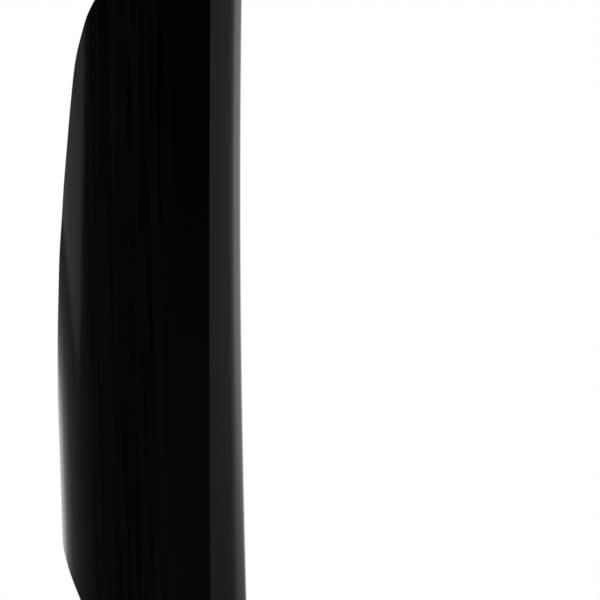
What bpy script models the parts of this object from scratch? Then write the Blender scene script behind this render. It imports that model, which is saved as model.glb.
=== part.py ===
"""A fork guard for a motorcycle: one moulded plastic shell that shields one leg of the front fork.

The shell is a tall channel, open at the back, that wraps the front and both sides of the fork leg.
Seen from above, a flat front strip ends in a sharp crease, two lip facets turn back on the wheel side,
and a barrel shaped flank turns back on the outer side. A thick pad with two bolt holes stands behind
the foot of the flat strip.

Metres, +Z up the fork leg, -Y to the front of the motorcycle, +X towards the wheel.
The origin is the centre of the pad's back face, which bolts against the fork.
"""

import math

import bmesh
import bpy
from mathutils import Matrix, Vector
from mathutils.geometry import interpolate_bezier

# Overall heights, from the pad's centre. The flank's wing has its full depth from WING_FROM upwards.
TOP_HEIGHT = 0.378
FOOT_DROP = 0.025
WING_FROM = 0.060

# How far round the shell reaches: the flank from the flat strip, and the lip from the crease.
FOOT_REACH = 0.042
WING_REACH = 0.0895
LIP_REACH = 0.049

# The shell's wall and the rounding of its rim and crease.
WALL = 0.0028
RIM_ROUND = 0.0006

# The flat front strip at mid height, and how far the front bows forward there.
FRONT_WIDTH = 0.0225
FRONT_BOW = 0.004

# The crease runs a little towards the wheel at the strip's two ends.
CREASE_SWEEP = 0.00075

# The outer flank: a barrel whose radius grows upwards, faster above the knee.
FLANK_RADIUS = 0.0585
KNEE_HEIGHT = 0.138
KNEE_EASE = 0.030
FLARE_BELOW_KNEE = 0.034
FLARE_ABOVE_KNEE = 0.089
FLANK_TURN = math.radians(87)

# The facet pressed into the upper flank. Its front edge is a soft ridge that leans a little back as it comes
# down, and its rear edge a valley that leans forward. It fades out round the knee.
FACET_HEIGHT = 0.2174
RIDGE_OUT = 0.0441
RIDGE_LEAN = 0.018
RIDGE_WIDTH = 0.0032
FACET_TURN = math.radians(59)
FACET_END_TURN = math.radians(66)
VALLEY_OUT = 0.0546
VALLEY_LEAN = 0.1033
VALLEY_WIDTH = 0.0022
FACET_FADES_FROM = 0.186
FACET_FADES_TO = 0.105

# The lip on the wheel side: lengths of its facets and the turn made along each.
CREASE_TURN = math.radians(47.2)
CREASE_EASE = math.radians(8.3)
CREASE_STEEPEST_AT = 0.265
LIP_LENGTH = 0.0155
LIP_BOW = math.radians(4)
KNUCKLE_LENGTH = 0.005
KNUCKLE_TURN = math.radians(15)
CHEEK_LENGTH = 0.0076
CHEEK_BOW = math.radians(4)
CORNER_LENGTH = 0.0035
INNER_WALL_TURN = math.radians(88.8)

# Both sides end in a straight wall, this long before it is trimmed.
STRAIGHT = 1.0

# The mounting pad behind the foot, and its bolt holes.
PAD_WIDTH = 0.020
PAD_STAND_OFF = 0.006
PAD_ABOVE = 0.022
PAD_BELOW = 0.0205
PAD_CORNER = 0.003
BOLT_PITCH = 0.026
BOLT_HOLE = 0.0066
BOLT_SEAT = 0.0145
SEAT_DEPTH = 0.0012

# Stiffening ribs behind the foot.
RIB = 0.0016
RIB_SET_BACK = 0.001
CROSS_RIB_REACH_OUT = 0.024
CROSS_RIB_REACH_IN = 0.009
TALL_RIB_TOP = 0.075

# How finely the shell is divided.
FLANK_COLUMNS = 26
LIP_COLUMNS = 14
FOOT_ROWS = 17
BODY_ROWS = 20
FOOT_SHARE = 0.30

BLACK = (0.004, 0.004, 0.0045, 1.0)


def ease(value):
    """Rises smoothly from 0 to 1."""
    value = min(max(value, 0.0), 1.0)
    return value * value * (3 - 2 * value)


def flank_radius(z):
    above = z - KNEE_HEIGHT
    if abs(above) < KNEE_EASE:
        flared = (above + KNEE_EASE) ** 2 / (4 * KNEE_EASE)
    else:
        flared = max(above, 0.0)
    return FLANK_RADIUS + FLARE_BELOW_KNEE * above + (FLARE_ABOVE_KNEE - FLARE_BELOW_KNEE) * flared


def flank_bends(z):
    """Where the flank's bends begin and end: how far out from the flat strip, and the heading there."""
    radius = flank_radius(z)
    fade = ease((z - FACET_FADES_TO) / (FACET_FADES_FROM - FACET_FADES_TO))

    def barrel(out):
        return math.asin(min(out / radius, math.sin(FLANK_TURN)))

    def facet(out):
        share = (out - RIDGE_OUT) / (VALLEY_OUT - RIDGE_OUT)
        turned = FACET_TURN + share * (FACET_END_TURN - FACET_TURN)
        return barrel(out) + fade * (turned - barrel(out))

    ridge_from = RIDGE_OUT + RIDGE_LEAN * (FACET_HEIGHT - z) - RIDGE_WIDTH / 2
    ridge_to = ridge_from + RIDGE_WIDTH
    valley_from = max(VALLEY_OUT - VALLEY_LEAN * (FACET_HEIGHT - z) - VALLEY_WIDTH / 2, ridge_to)
    valley_to = valley_from + VALLEY_WIDTH
    return [
        (0.0, 0.0),
        (ridge_from, barrel(ridge_from)),
        (ridge_to, facet(ridge_to)),
        (valley_from, facet(valley_from)),
        (valley_to, barrel(valley_to)),
        (max(radius * math.sin(FLANK_TURN), valley_to), FLANK_TURN),
    ]


def front_depth(z):
    """How far forward the flat strip's outer face lies, as its Y."""
    middle = TOP_HEIGHT / 2
    bow = FRONT_BOW * (1 - ((z - middle) / middle) ** 2)
    return -(PAD_STAND_OFF + WALL) - bow


def sweep(z):
    """How far the crease has run towards the wheel at this height."""
    middle = TOP_HEIGHT / 2
    return CREASE_SWEEP * ((z - middle) / middle) ** 2


def crease_turn(z):
    """The turn at the crease, steepest at one height and easing above and below it."""
    return CREASE_TURN - CREASE_EASE * ((z - CREASE_STEEPEST_AT) / CREASE_STEEPEST_AT) ** 2


def chord_share(half):
    """How much shorter an arc's chord is than the arc, from half the arc's turn."""
    return math.sin(half) / half if half else 1.0


def flank_legs(z):
    """The section from the crease outwards, as arcs: the length of each and the turn made along it."""
    legs = [(FRONT_WIDTH + sweep(z), 0.0)]
    bends = flank_bends(z)
    for (out, heading), (next_out, next_heading) in zip(bends, bends[1:]):
        if next_out > out:
            half = (next_heading - heading) / 2
            legs.append(((next_out - out) / (math.cos(heading + half) * chord_share(half)), 2 * half))
    return legs + [(STRAIGHT, 0.0)]


def lip_legs(z):
    """The section from the crease towards the wheel."""
    turned = crease_turn(z) + LIP_BOW + KNUCKLE_TURN + CHEEK_BOW
    return [
        (LIP_LENGTH, LIP_BOW),
        (KNUCKLE_LENGTH, KNUCKLE_TURN),
        (CHEEK_LENGTH, CHEEK_BOW),
        (CORNER_LENGTH, INNER_WALL_TURN - turned),
        (STRAIGHT, 0.0),
    ]


def skin_point(s, z, inset=0.0):
    """A point of the outer skin, s along the section from the crease and z up.

    Negative s is the flat strip and the flank, and positive s is the lip. The point is set inset deep
    into the wall.
    """
    side = -1 if s < 0 else 1
    heading = 0.0 if s < 0 else crease_turn(z)
    x, y, left = FRONT_WIDTH / 2 + sweep(z), front_depth(z), abs(s)
    for length, turn in flank_legs(z) if s < 0 else lip_legs(z):
        step = min(left, length)
        half = turn * step / length / 2
        chord = step * chord_share(half)
        x += side * chord * math.cos(heading + half)
        y += chord * math.sin(heading + half)
        heading += 2 * half
        left -= step
        if left <= 0:
            break
    return Vector((x - side * inset * math.sin(heading), y + inset * math.cos(heading), z))


def edge(shares, nearest, farthest, bottom, top):
    """Stations of the shell's edge from shares of its reach and of a height."""
    return [(nearest + a * (farthest - nearest), bottom + b * (top - bottom)) for a, b in shares]


# The shell's edge, laid flat as (s, z): four sides of smooth curves through these stations.
OUTER_SIDE = edge(
    [(-0.22, 0.09), (-0.08, 0.20), (-0.01, 0.32), (0.10, 0.46), (0.28, 0.613), (0.455, 0.732), (0.607, 0.824),
     (0.73, 0.894), (0.855, 0.941)],
    -FRONT_WIDTH - FOOT_REACH, -FRONT_WIDTH - WING_REACH, -FOOT_DROP, WING_FROM,
) + edge(
    [(0.975, 0.0), (0.995, 0.03), (0.995, 0.12), (0.975, 0.2), (0.909, 0.283), (0.864, 0.396), (0.847, 0.478),
     (0.818, 0.562), (0.7616, 0.645), (0.7028, 0.728), (0.6441, 0.795), (0.5583, 0.845), (0.4535, 0.895),
     (0.377, 0.926), (0.275, 0.956)],
    -FRONT_WIDTH, -FRONT_WIDTH - WING_REACH, WING_FROM, TOP_HEIGHT,
)
TOP_OUTER = [OUTER_SIDE[-1]] + edge(
    [(0.14, 0.98), (-0.056, 0.9956)], -FRONT_WIDTH, -FRONT_WIDTH - WING_REACH, WING_FROM, TOP_HEIGHT
) + [(0.0, TOP_HEIGHT)]
BOTTOM_OUTER = [OUTER_SIDE[0]] + edge(
    [(0.70, 0.033), (0.51, 0.0)], 0.0, -FRONT_WIDTH - FOOT_REACH, -FOOT_DROP, WING_FROM
) + [(0.0, -FOOT_DROP)]
INNER_SIDE = edge(
    [(0.47, 0.10), (0.59, 0.21), (0.685, 0.39), (0.785, 0.625), (0.90, 0.86)], 0.0, LIP_REACH, -FOOT_DROP, WING_FROM
) + edge(
    [(0.98, 0.05), (1.0, 0.157), (1.0, 0.503), (0.98, 0.717), (0.908, 0.811), (0.755, 0.893), (0.612, 0.932)],
    0.0, LIP_REACH, WING_FROM, TOP_HEIGHT,
)
TOP_INNER = [(0.0, TOP_HEIGHT)] + edge(
    [(0.2245, 0.992), (0.4286, 0.9686)], 0.0, LIP_REACH, WING_FROM, TOP_HEIGHT
) + [INNER_SIDE[-1]]
BOTTOM_INNER = [(0.0, -FOOT_DROP)] + edge(
    [(0.184, 0.007), (0.337, 0.0376)], 0.0, LIP_REACH, -FOOT_DROP, WING_FROM
) + [INNER_SIDE[0]]


def smooth_path(stations, start=None, end=None):
    """Many close points of a smooth curve through the stations. start and end give its end directions."""
    knots = [Vector(p) for p in stations]
    count = len(knots)
    tangents = [(knots[min(i + 1, count - 1)] - knots[max(i - 1, 0)]).normalized() for i in range(count)]
    if start:
        tangents[0] = Vector(start).normalized()
    if end:
        tangents[-1] = Vector(end).normalized()
    path = []
    for i in range(count - 1):
        reach = (knots[i + 1] - knots[i]).length / 3
        handles = (knots[i] + tangents[i] * reach, knots[i + 1] - tangents[i + 1] * reach)
        path += interpolate_bezier(knots[i], handles[0], handles[1], knots[i + 1], 24)[:-1]
    return path + [knots[-1]]


def along(path, share):
    """The point at a share of the path's length."""
    steps = [(b - a).length for a, b in zip(path, path[1:])]
    left = share * sum(steps)
    for a, b, step in zip(path, path[1:], steps):
        if left <= step:
            return a.lerp(b, left / step)
        left -= step
    return path[-1].copy()


def patch_point(u, v, left, right, bottom, top):
    """A point of the four sided patch between two side paths and two end paths."""
    across = along(left, v).lerp(along(right, v), u)
    upward = along(bottom, u).lerp(along(top, u), v)
    corners = bottom[0].lerp(bottom[-1], u).lerp(top[0].lerp(top[-1], u), v)
    return across + upward - corners


def row_shares():
    """Heights of the rows, closer together in the foot, where the edge bends most."""
    foot = [FOOT_SHARE * i / FOOT_ROWS for i in range(FOOT_ROWS)]
    body = [FOOT_SHARE + (1 - FOOT_SHARE) * i / BODY_ROWS for i in range(BODY_ROWS + 1)]
    return foot + body


def corner_direction(end_stations, side_stations):
    """The edge's direction where an end of the shell runs into its side, so that it has no corner there."""
    return Vector(side_stations[1]) - Vector(end_stations[-2])


def shell_grid():
    """Rows of (s, z) points that fill the laid-flat shell, with one column on the crease."""
    crease = [Vector((0.0, -FOOT_DROP)), Vector((0.0, TOP_HEIGHT))]
    at_foot = corner_direction(BOTTOM_OUTER[::-1], OUTER_SIDE)
    at_top = corner_direction(TOP_OUTER[::-1], OUTER_SIDE[::-1])
    outer = smooth_path(OUTER_SIDE, at_foot, -at_top)
    top_outer = smooth_path(TOP_OUTER, -at_top, (1, 0))
    bottom_outer = smooth_path(BOTTOM_OUTER, -at_foot, (1, 0))
    in_at_foot = corner_direction(BOTTOM_INNER, INNER_SIDE)
    in_at_top = corner_direction(TOP_INNER, INNER_SIDE[::-1])
    inner = smooth_path(INNER_SIDE, in_at_foot, -in_at_top)
    top_inner = smooth_path(TOP_INNER, (1, 0), in_at_top)
    bottom_inner = smooth_path(BOTTOM_INNER, (1, 0), in_at_foot)
    rows = []
    for v in row_shares():
        flank = [
            patch_point(i / FLANK_COLUMNS, v, outer, crease, bottom_outer, top_outer)
            for i in range(FLANK_COLUMNS)
        ]
        lip = [
            patch_point(i / LIP_COLUMNS, v, crease, inner, bottom_inner, top_inner)
            for i in range(LIP_COLUMNS + 1)
        ]
        rows.append(flank + lip)
    return rows


def new_object(name, mesh):
    part = bpy.data.objects.new(name, mesh)
    bpy.context.scene.collection.objects.link(part)
    return part


def helper(name, bm):
    """A solid that only adds to the shell or cuts it."""
    bmesh.ops.recalc_face_normals(bm, faces=bm.faces)
    mesh = bpy.data.meshes.new(name)
    bm.to_mesh(mesh)
    bm.free()
    tool = new_object(name, mesh)
    tool.hide_render = True
    tool.display_type = "WIRE"
    return tool


def plate(name, outline, depth):
    """A flat plate: the outline's points, carried on by the vector depth."""
    bm = bmesh.new()
    face = bm.faces.new([bm.verts.new(p) for p in outline])
    raised = bmesh.ops.extrude_face_region(bm, geom=[face])
    moved = [v for v in raised["geom"] if isinstance(v, bmesh.types.BMVert)]
    bmesh.ops.translate(bm, verts=moved, vec=depth)
    return helper(name, bm)


def shell():
    """The outer skin as a sheet, which gets its wall and its rounded rim from modifiers."""
    bm = bmesh.new()
    rows = [[bm.verts.new(skin_point(s, z)) for s, z in row] for row in shell_grid()]
    for low, high in zip(rows, rows[1:]):
        for i in range(len(low) - 1):
            bm.faces.new((low[i], low[i + 1], high[i + 1], high[i]))
    mesh = bpy.data.meshes.new("fork_guard")
    bm.to_mesh(mesh)
    bm.free()
    mesh.shade_smooth()
    guard = new_object("fork_guard", mesh)
    wall = guard.modifiers.new("wall", "SOLIDIFY")
    wall.thickness = WALL
    wall.offset = -1
    wall.use_even_offset = True
    rim = guard.modifiers.new("rim", "BEVEL")
    rim.width = RIM_ROUND
    rim.segments = 1
    rim.limit_method = "ANGLE"
    rim.angle_limit = math.radians(30)
    return guard


def pad():
    """The thick pad behind the flat strip. It starts inside the wall."""
    half = PAD_WIDTH / 2
    start = front_depth(0) + WALL / 2
    corners = [(-half, -PAD_BELOW), (half, -PAD_BELOW), (half, PAD_ABOVE), (-half, PAD_ABOVE)]
    block = plate("pad", [(x, start, z) for x, z in corners], Vector((0, -start, 0)))
    bm = bmesh.new()
    bm.from_mesh(block.data)
    upright = [e for e in bm.edges if abs((e.verts[0].co - e.verts[1].co).y) > PAD_STAND_OFF / 2]
    bmesh.ops.bevel(bm, geom=upright, offset=PAD_CORNER, segments=4, profile=0.5, affect="EDGES")
    bm.to_mesh(block.data)
    bm.free()
    return block


def section_run(start, end, z, inset):
    """Points of the skin's section at one height, from start to end along it."""
    steps = 14
    return [skin_point(start + (end - start) * i / steps, z, inset) for i in range(steps + 1)]


def cross_rib(name, z):
    """A rib across the channel at one bolt, from the wall back to just short of the pad's face."""
    low = z - RIB / 2
    far = -(FRONT_WIDTH + CROSS_RIB_REACH_OUT)
    front = section_run(far, CROSS_RIB_REACH_IN, low, WALL / 2)
    front = [p for p in front if p.y < -RIB_SET_BACK]
    back = [Vector((front[-1].x, -RIB_SET_BACK, low)), Vector((front[0].x, -RIB_SET_BACK, low))]
    return plate(name, front + back, Vector((0, 0, RIB)))


def tall_rib(name, x):
    """An upright rib that runs up from the pad's side and fades into the wall."""
    inside = WALL / 2
    heights = [PAD_ABOVE / 2 + (TALL_RIB_TOP - PAD_ABOVE / 2) * i / 8 for i in range(9)]
    front = [Vector((x - RIB / 2, front_depth(z) + inside, z)) for z in heights]
    back = [
        Vector((x - RIB / 2, -RIB_SET_BACK, heights[0])),
        Vector((x - RIB / 2, -RIB_SET_BACK, PAD_ABOVE)),
    ]
    return plate(name, front + back[::-1], Vector((RIB, 0, 0)))


def bolt_cutter(name, diameter, start, end, z):
    """A round cutter through the pad, between two depths."""
    bm = bmesh.new()
    place = Matrix.Translation((0, (start + end) / 2, z)) @ Matrix.Rotation(math.pi / 2, 4, "X")
    bmesh.ops.create_cone(
        bm, cap_ends=True, segments=32, radius1=diameter / 2, radius2=diameter / 2, depth=end - start, matrix=place
    )
    return helper(name, bm)


def join(guard, tool, operation):
    step = guard.modifiers.new(tool.name, "BOOLEAN")
    step.operation = operation
    step.object = tool


def plastic():
    """Black polypropylene with the gloss of a polished mould."""
    material = bpy.data.materials.new("gloss_black_polypropylene")
    material.use_nodes = True
    shader = material.node_tree.nodes["Principled BSDF"]
    shader.inputs["Base Color"].default_value = BLACK
    shader.inputs["Roughness"].default_value = 0.12
    shader.inputs["Metallic"].default_value = 0.0
    shader.inputs["IOR"].default_value = 1.49
    return material


def build():
    for old in list(bpy.data.objects):
        bpy.data.objects.remove(old)
    guard = shell()
    join(guard, pad(), "UNION")
    for name, z in (("cross_rib_upper", BOLT_PITCH / 2), ("cross_rib_lower", -BOLT_PITCH / 2)):
        join(guard, cross_rib(name, z), "UNION")
    for name, side in (("tall_rib_outer", -1), ("tall_rib_inner", 1)):
        join(guard, tall_rib(name, side * (PAD_WIDTH - RIB) / 2), "UNION")
    front = -(PAD_STAND_OFF + WALL + FRONT_BOW)
    for name, z in (("bolt_upper", BOLT_PITCH / 2), ("bolt_lower", -BOLT_PITCH / 2)):
        seat_floor = -(PAD_STAND_OFF + WALL) + SEAT_DEPTH
        join(guard, bolt_cutter(name + "_seat", BOLT_SEAT, front, seat_floor, z), "DIFFERENCE")
        join(guard, bolt_cutter(name + "_hole", BOLT_HOLE, front, WALL, z), "DIFFERENCE")
    guard.data.materials.append(plastic())


build()
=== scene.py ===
"""A gloss black fork guard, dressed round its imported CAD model.

The guard is one moulding: a tall shell with a flat front strip, a barrel shaped outer flank with a
pressed-in facet, and a folded lip towards the wheel. Its laid-flat blank is bent by Geometry Nodes
with the same rule that the CAD source uses, then it gets its wall, rims, ribs, pad and bolt holes.

Metres, +Z up the fork leg, -Y to the front, +X towards the wheel.
"""

import math
from functools import partial

import bmesh
import bpy
from bpy.props import FloatProperty, IntProperty, PointerProperty, StringProperty
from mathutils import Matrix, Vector
from mathutils.geometry import delaunay_2d_cdt, interpolate_bezier


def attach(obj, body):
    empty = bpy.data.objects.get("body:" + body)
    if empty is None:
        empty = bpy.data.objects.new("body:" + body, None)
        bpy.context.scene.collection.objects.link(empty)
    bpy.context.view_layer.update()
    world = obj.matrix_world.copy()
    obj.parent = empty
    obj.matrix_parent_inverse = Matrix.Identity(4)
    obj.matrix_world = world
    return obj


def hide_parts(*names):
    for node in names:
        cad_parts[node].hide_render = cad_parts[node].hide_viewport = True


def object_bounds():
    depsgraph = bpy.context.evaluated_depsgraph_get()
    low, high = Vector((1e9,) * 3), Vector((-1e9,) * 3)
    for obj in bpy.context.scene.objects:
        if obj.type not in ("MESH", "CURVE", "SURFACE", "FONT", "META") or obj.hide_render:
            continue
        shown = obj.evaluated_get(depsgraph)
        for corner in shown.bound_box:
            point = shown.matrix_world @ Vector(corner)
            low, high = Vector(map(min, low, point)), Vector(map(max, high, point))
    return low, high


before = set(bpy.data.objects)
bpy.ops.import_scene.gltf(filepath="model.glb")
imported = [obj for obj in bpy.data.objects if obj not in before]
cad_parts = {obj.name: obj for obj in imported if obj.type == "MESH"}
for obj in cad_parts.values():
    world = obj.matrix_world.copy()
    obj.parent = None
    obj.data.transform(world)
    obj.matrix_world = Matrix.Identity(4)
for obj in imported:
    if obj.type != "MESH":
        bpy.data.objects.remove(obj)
bpy.context.view_layer.update()
PACKED_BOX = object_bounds()
NODE = "fork_guard"
BODY = "root"

bl_info = {
    "name": "Fork Guard",
    "version": (1, 0, 0),
    "blender": (4, 5, 0),
    "location": "View3D > Sidebar > Fork Guard",
    "description": "Builds a moulded fork guard, its finish and a small studio round it",
    "category": "Add Mesh",
}


# Sizes and colours that a user may change


def prop(name, description, default, kind=FloatProperty, **rest):
    return kind(name=name, description=description, default=default, **rest)


def turn(name, description, degrees):
    return prop(name, description, math.radians(degrees), subtype="ANGLE")


length = partial(prop, unit="LENGTH", precision=4)
ratio = partial(prop, precision=3)
colour = partial(prop, kind=StringProperty)


class ShellSizes(bpy.types.PropertyGroup):
    """The shell's overall sizes."""

    top_height: length("Top Height", "Top of the shell above the pad's centre", 0.378)
    foot_drop: length("Foot Drop", "Lowest point of the foot below the pad's centre", 0.025)
    wing_from: length("Wing From", "Height from which the flank has its full depth", 0.060)
    foot_reach: length("Foot Reach", "Reach of the foot's flank round from the flat strip", 0.042)
    wing_reach: length("Wing Reach", "Reach of the wing round from the flat strip", 0.0895)
    lip_reach: length("Lip Reach", "Reach of the lip round from the crease", 0.049)
    wall: length("Wall", "Thickness of the moulding", 0.0028)
    rim_round: length("Rim Round", "Rounding of the rims", 0.0006)
    crease_round: length("Crease Round", "Rounding of the crease beside the flat strip", 0.00025)


class SectionSizes(bpy.types.PropertyGroup):
    """The rule of the shell's section, from the crease outwards and inwards."""

    front_width: length("Front Width", "Width of the flat front strip", 0.0225)
    front_bow: length("Front Bow", "Forward bow of the front at mid height", 0.004)
    crease_sweep: length("Crease Sweep", "Lean of the crease to the wheel at the strip's ends", 0.00075)
    stand_off: length("Stand Off", "From the pad's face to the shell's inner wall, at its ends", 0.006)
    flank_radius: length("Flank Radius", "Radius of the barrel at the knee", 0.0585)
    knee_height: length("Knee Height", "Height above which the barrel grows faster", 0.138)
    knee_ease: length("Knee Ease", "How softly the barrel changes its growth", 0.030)
    flare_below_knee: ratio("Flare Below Knee", "Growth of the radius with height below the knee", 0.034)
    flare_above_knee: ratio("Flare Above Knee", "Growth of the radius with height above the knee", 0.089)
    flank_turn: turn("Flank Turn", "Heading at which the flank runs out straight", 87)
    facet_height: length("Facet Height", "Height at which its ridge and valley are measured", 0.2174)
    ridge_out: length("Ridge Out", "How far out the facet's front ridge stands there", 0.0441)
    ridge_lean: ratio("Ridge Lean", "Lean of the ridge back as it comes down", 0.018)
    ridge_width: length("Ridge Width", "Width of that ridge's soft bend", 0.0032)
    facet_turn: turn("Facet Turn", "Heading of the facet at its ridge", 59)
    facet_end_turn: turn("Facet End Turn", "Heading of the facet at its valley", 66)
    valley_out: length("Valley Out", "How far out the facet's rear valley lies there", 0.0546)
    valley_lean: ratio("Valley Lean", "Lean of the valley forward as it comes down", 0.1033)
    valley_width: length("Valley Width", "Width of the valley's soft bend", 0.0022)
    facet_fades_from: length("Facet Fades From", "Height below which the facet fades", 0.186)
    facet_fades_to: length("Facet Fades To", "Height at which the facet is gone", 0.105)
    crease_turn: turn("Crease Turn", "Turn at the crease where it is steepest", 47.2)
    crease_ease: turn("Crease Ease", "How much less the crease turns at the pad", 8.3)
    crease_height: length("Crease Height", "Height at which the crease is steepest", 0.265)
    lip_length: length("Lip Length", "First facet of the lip", 0.0155)
    lip_turn: turn("Lip Turn", "Turn along that facet", 4)
    knuckle_length: length("Knuckle Length", "Bend between the lip's facets", 0.005)
    knuckle_turn: turn("Knuckle Turn", "Turn along that bend", 15)
    cheek_length: length("Cheek Length", "Second facet of the lip", 0.0076)
    cheek_turn: turn("Cheek Turn", "Turn along that facet", 4)
    corner_length: length("Corner Length", "Tight bend into the inner wall", 0.0035)
    inner_wall_turn: turn("Inner Wall Turn", "Heading of the inner wall", 88.8)


class FootSizes(bpy.types.PropertyGroup):
    """The mounting pad, its bolt holes and the ribs behind the foot."""

    pad_width: length("Pad Width", "Width of the mounting pad", 0.020)
    pad_above: length("Pad Above", "Pad's top above its centre", 0.022)
    pad_below: length("Pad Below", "Pad's end below its centre", 0.0205)
    pad_corner: length("Pad Corner", "Rounding of the pad's corners", 0.003)
    bolt_pitch: length("Bolt Pitch", "Distance between the two bolts", 0.026)
    bolt_hole: length("Bolt Hole", "Diameter of each hole", 0.0066)
    bolt_seat: length("Bolt Seat", "Diameter of each bolt head's seat", 0.0145)
    seat_depth: length("Seat Depth", "Depth of the seats at the ends of the front's bow", 0.0012)
    lead_in: length("Lead In", "Small chamfer round each hole", 0.0003)
    rib: length("Rib", "Thickness of the ribs", 0.0016)
    rib_set_back: length("Rib Set Back", "How far the ribs stay short of the pad's face", 0.001)
    rib_fillet: length("Rib Fillet", "Height of the flare at a rib's root", 0.0009)
    rib_edge: length("Rib Edge", "Chamfer along a rib's free edge", 0.0002)
    reach_out: length("Reach Out", "Reach of a cross rib round the flank", 0.027)
    reach_in: length("Reach In", "Reach of a cross rib round the lip", 0.0115)
    tall_rib_top: length("Tall Rib Top", "Height at which the upright ribs end", 0.075)


class Finish(bpy.types.PropertyGroup):
    """The moulded plastic's colour and gloss."""

    black: colour("Black", "Carbon black dyed through the plastic, sRGB", "#010101")
    flow_grey: colour("Flow Grey", "The plastic where a flow line dulls it, sRGB", "#050505")
    gloss: ratio("Gloss", "Roughness of the face from the polished cavity", 0.075)
    satin: ratio("Satin", "Roughness of the face from the spark eroded core", 0.34)
    index: ratio("Index", "Polypropylene's refractive index", 1.49)
    flow_width: length("Flow Width", "Width of the faint flow lines", 0.0028)
    flow_length: length("Flow Length", "Length of the faint flow lines", 0.22)
    peel: length("Peel", "Size of the polished face's faint waves", 0.009)
    grain: length("Grain", "Size of the inside's grain, drawn coarser than the real 0.05 mm", 0.0006)


class Studio(bpy.types.PropertyGroup):
    """Floor, light and camera."""

    floor_colour: colour("Floor Colour", "Pale floor, sRGB", "#f4f4f4")
    floor_radius: length("Floor Radius", "Radius of the floor disc", 1.6)
    lens: ratio("Lens", "Focal length in millimetres", 1000.0)
    picture: prop("Picture", "Pixels along the picture's side", 600, kind=IntProperty)
    pixel: length("Pixel", "Width of one pixel at the guard's outline", 0.00053)
    column: ratio("Column", "The picture's column in which the crease stands", 209.74)
    row: length("Row", "Height of the picture's top edge", 0.34487)
    plane: length("Plane", "Depth of the widest part of the outline", 0.030)


# Small helpers

COMBINE, SEPARATE = "ShaderNodeCombineXYZ", "ShaderNodeSeparateXYZ"
MAP_RANGE, VECTOR_MATH = "ShaderNodeMapRange", "ShaderNodeVectorMath"
NOISE = "ShaderNodeTexNoise"
MIX = "ShaderNodeMix"  # input 0 is its share; it mixes numbers 2 and 3, vectors 4 and 5, colours 6 and 7
MICROMETRE = 1e-6
SAME_PLACE = 0.1e-6  # metres between points that count as one


def linear(code):
    """An sRGB hex colour as linear red, green, blue and alpha."""
    parts = [int(code[i : i + 2], 16) / 255 for i in (1, 3, 5)]
    return [p / 12.92 if p <= 0.04045 else ((p + 0.055) / 1.055) ** 2.4 for p in parts] + [1.0]


def feed(node, values):
    """Gives a node's inputs their values, and returns its tree.

    Each value is a constant, a socket to link, or a node, of which the first output is linked.
    """
    for key, value in values.items():
        if isinstance(value, bpy.types.Node):
            value = value.outputs[0]
        if isinstance(value, bpy.types.NodeSocket):
            node.id_data.links.new(value, node.inputs[key])
        else:
            node.inputs[key].default_value = value
    return node.id_data


def add(tree, kind, *values, **settings):
    """Adds a node. A kind in capitals is the operation of a Math node.

    The values go to the inputs in order, or one dict names the inputs.
    """
    if kind.isupper():
        kind, settings["operation"] = "ShaderNodeMath", kind
    node = tree.nodes.new(kind)
    for name, setting in settings.items():
        setattr(node, name, setting)
    feed(node, values[0] if values and isinstance(values[0], dict) else dict(enumerate(values)))
    return node


def new_object(name, bm):
    """A mesh object from a bmesh."""
    mesh = bpy.data.meshes.new(name)
    bm.to_mesh(mesh)
    bm.free()
    made = bpy.data.objects.new(name, mesh)
    bpy.context.scene.collection.objects.link(made)
    return made


def settle(piece):
    """Replaces a piece's mesh by the plain mesh that its modifiers give, and removes them."""
    bpy.context.view_layer.update()
    evaluated = piece.evaluated_get(bpy.context.evaluated_depsgraph_get())
    old, name = piece.data, piece.data.name
    piece.data = bpy.data.meshes.new_from_object(evaluated)
    piece.modifiers.clear()
    bpy.data.meshes.remove(old)
    piece.data.name = name
    if not piece.data.polygons:
        raise RuntimeError(f"{piece.name} came out empty")


def join(guard, tool, operation):
    """Adds a helper solid to the guard, or cuts it out, and removes the helper."""
    step = guard.modifiers.new(tool.name, "BOOLEAN")
    step.operation, step.object, step.solver = operation, tool, "EXACT"
    settle(guard)
    bpy.data.meshes.remove(tool.data)  # its object goes with it


def begun(scene):
    """The guard as it stands, and the sizes of its shell, section and foot."""
    return bpy.data.objects["guard_moulding"], scene.shell_sizes, scene.section_sizes, scene.foot_sizes


def sizes_of(*groups):
    """Every size of these property groups, as (label, value)."""
    return [
        (p.name, getattr(group, p.identifier))
        for group in groups
        for p in group.bl_rna.properties
        if p.type == "FLOAT"
    ]


def skin_labels(section):
    """The sizes that the rule of the skin takes."""
    return [label for label, _ in sizes_of(section)] + ["Top Height", "Wall"]


# Geometry Nodes: the section rule

GROUP = "GeometryNodeGroup"
PLACE = ("Place", "NodeSocketVector")
PIECE = ("Geometry", "NodeSocketGeometry")
MATERIAL = ("Material", "NodeSocketMaterial")


def new_tree(name, inputs, outputs):
    """An empty node tree: the function that adds its nodes, its inputs and its output node.

    A socket is a number, unless its kind is given with its label.
    """
    tree = bpy.data.node_groups.new(name, "GeometryNodeTree")
    for way, sockets in (("INPUT", inputs), ("OUTPUT", outputs)):
        for socket in sockets:
            label, kind = (socket, "NodeSocketFloat") if isinstance(socket, str) else socket
            tree.interface.new_socket(label, in_out=way, socket_type=kind)
    given, end = tree.nodes.new("NodeGroupInput").outputs, tree.nodes.new("NodeGroupOutput")
    return partial(add, tree), given, end


def chord_tree():
    """How much shorter an arc's chord is than the arc, from half the arc's turn."""
    node, given, end = new_tree("Chord Share", ["Half Turn"], ["Share"])
    half = node("MAXIMUM", node("ABSOLUTE", given["Half Turn"]), 1e-4)
    return feed(end, {"Share": node("DIVIDE", node("SINE", half), half)})


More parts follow.
